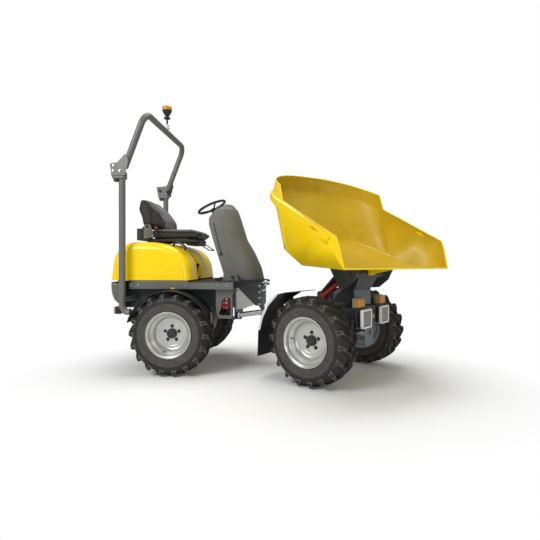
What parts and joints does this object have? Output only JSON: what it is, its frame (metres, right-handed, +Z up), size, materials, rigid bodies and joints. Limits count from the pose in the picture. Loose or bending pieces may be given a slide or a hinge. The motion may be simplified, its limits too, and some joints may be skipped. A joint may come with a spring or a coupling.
{
  "type": "site dumper",
  "caption": "Articulated four-wheel site dumper with a swivelling front-tipping skip, open driver's seat over the engine hood and a folding roll bar.",
  "frame": {"origin": "on the ground, under the middle of the whole machine's box as it is parked", "axes": "+Z up, +X forward along the rear chassis, +Y to the driver's left"},
  "size_m": [3.1615, 1.8784, 2.748],
  "materials": {
    "yellow_paint": "gloss enamel",
    "grey_paint": "satin powder coat",
    "black_paint": "satin black",
    "silver_paint": "silver wheel enamel",
    "tyre": "moulded rubber",
    "console_plastic": "rotomoulded polyethylene",
    "black_plastic": "moulded",
    "seat_vinyl": "grained vinyl",
    "amber": "clear amber lens",
    "lamp": "lamp lens and white bezel",
    "steel": "plated",
    "red_paint": "gloss",
    "cast": "painted casting"
  },
  "bodies": {
    "rear_chassis": {"rear_frame": "grey_paint", "side_rails": "grey_paint", "side_plates": "grey_paint", "floor_plate": "black_paint", "engine_block": "cast", "counterweight": "grey_paint", "rear_axle": "black_paint", "rear_fenders": "black_plastic", "rear_lights": "amber", "tow_hitch": "black_paint", "valve_block": "red_paint", "rops_posts": "grey_paint", "steering_console": "console_plastic", "steering_column": "black_plastic", "pedals": "black_plastic", "control_levers": "black_plastic"},
    "hood": {"hood": "yellow_paint", "seat_base": "black_paint", "seat_cushion": "seat_vinyl", "seat_backrest": "seat_vinyl"},
    "rops_hoop": {"rops_hoop": "grey_paint", "beacon": "amber"},
    "steering_wheel": {"steering_wheel": "black_plastic"},
    "front_chassis": {"front_frame": "grey_paint", "front_axle": "black_paint", "front_fenders": "black_plastic", "lamp_bracket": "grey_paint", "headlamps": "lamp", "indicators": "amber", "slew_base": "black_paint"},
    "slew_frame": {"slew_column": "grey_paint", "safety_prop": "red_paint"},
    "skip": {"skip": "yellow_paint", "skip_brackets": "grey_paint"},
    "tip_barrel": {"tip_cylinder_barrel": "black_paint"},
    "tip_rod": {"tip_cylinder_rod": "steel"},
    "steer_barrel": {"steering_cylinder_barrel": "steel"},
    "steer_rod": {"steering_cylinder_rod": "steel"},
    "wheel_rear_left": {"rim_rear_left": "silver_paint", "tyre_rear_left": "tyre"},
    "wheel_rear_right": {"rim_rear_right": "silver_paint", "tyre_rear_right": "tyre"},
    "wheel_front_left": {"rim_front_left": "silver_paint", "tyre_front_left": "tyre"},
    "wheel_front_right": {"rim_front_right": "silver_paint", "tyre_front_right": "tyre"}
  },
  "joints": [
    {"name": "steering", "type": "hinge", "parent": "rear_chassis", "child": "front_chassis", "pos_m": [0.218, 0.303, 0.45], "axis": [0, 0, 1], "range_deg": [0, 67]},
    {"name": "steer_barrel_swing", "type": "hinge", "parent": "rear_chassis", "child": "steer_barrel", "pos_m": [-0.342, 0.091, 0.525], "axis": [0, 0, 1], "range_deg": [-1, 10.06]},
    {"name": "steer_rod_slide", "type": "slide", "parent": "steer_barrel", "child": "steer_rod", "axis": [0.991, 0.0096, 0.1339], "range_m": [-0.002, 0.2045]},
    {"name": "skip_slew", "type": "hinge", "parent": "front_chassis", "child": "slew_frame", "pos_m": [0.67163, 0.00275, 0.66445], "axis": [0, 0, 1], "range_deg": [-68, 112]},
    {"name": "skip_tip", "type": "hinge", "parent": "slew_frame", "child": "skip", "pos_m": [0.87554, -0.29394, 0.955], "axis": [0.8241, 0.5664, 0], "range_deg": [-26, 34]},
    {"name": "tip_barrel_swing", "type": "hinge", "parent": "slew_frame", "child": "tip_barrel", "pos_m": [0.50738, 0.24174, 0.735], "axis": [-0.8241, -0.5664, 0], "range_deg": [-8.95, 11.4]},
    {"name": "tip_rod_slide", "type": "slide", "parent": "tip_barrel", "child": "tip_rod", "axis": [0.4468, -0.6501, 0.6146], "range_m": [-0.1008, 0.1312]},
    {"name": "hood_open", "type": "hinge", "parent": "rear_chassis", "child": "hood", "pos_m": [-1.552, 0.303, 0.876], "axis": [0, -1, 0], "range_deg": [0, 60]},
    {"name": "rops_fold", "type": "hinge", "parent": "rear_chassis", "child": "rops_hoop", "pos_m": [-1.454, 0.303, 1.935], "axis": [0, 1, 0], "range_deg": [-165, 0]},
    {"name": "steering_wheel_turn", "type": "hinge", "parent": "rear_chassis", "child": "steering_wheel", "pos_m": [-0.672, 0.303, 1.648], "axis": [-0.4195, 0, 0.9078], "continuous": true},
    {"name": "wheel_rear_left_spin", "type": "hinge", "parent": "rear_chassis", "child": "wheel_rear_left", "pos_m": [-0.926, 0.82, 0.3845], "axis": [0, 1, 0], "continuous": true},
    {"name": "wheel_rear_right_spin", "type": "hinge", "parent": "rear_chassis", "child": "wheel_rear_right", "pos_m": [-0.926, -0.214, 0.3845], "axis": [0, 1, 0], "continuous": true},
    {"name": "wheel_front_left_spin", "type": "hinge", "parent": "front_chassis", "child": "wheel_front_left", "pos_m": [0.95698, 0.43387, 0.3845], "axis": [0.5519, 0.8339, 0], "continuous": true},
    {"name": "wheel_front_right_spin", "type": "hinge", "parent": "front_chassis", "child": "wheel_front_right", "pos_m": [0.38628, -0.42837, 0.3845], "axis": [0.5519, 0.8339, 0], "continuous": true}
  ],
  "couplings": [
    {"joint": "steer_barrel_swing", "follows": "steering", "ratio": 0.13527},
    {"joint": "steer_rod_slide", "follows": "steering", "m_per_rad": 0.17314},
    {"joint": "tip_barrel_swing", "follows": "skip_tip", "ratio": 0.30594},
    {"joint": "tip_rod_slide", "follows": "skip_tip", "m_per_rad": 0.21769}
  ]
}
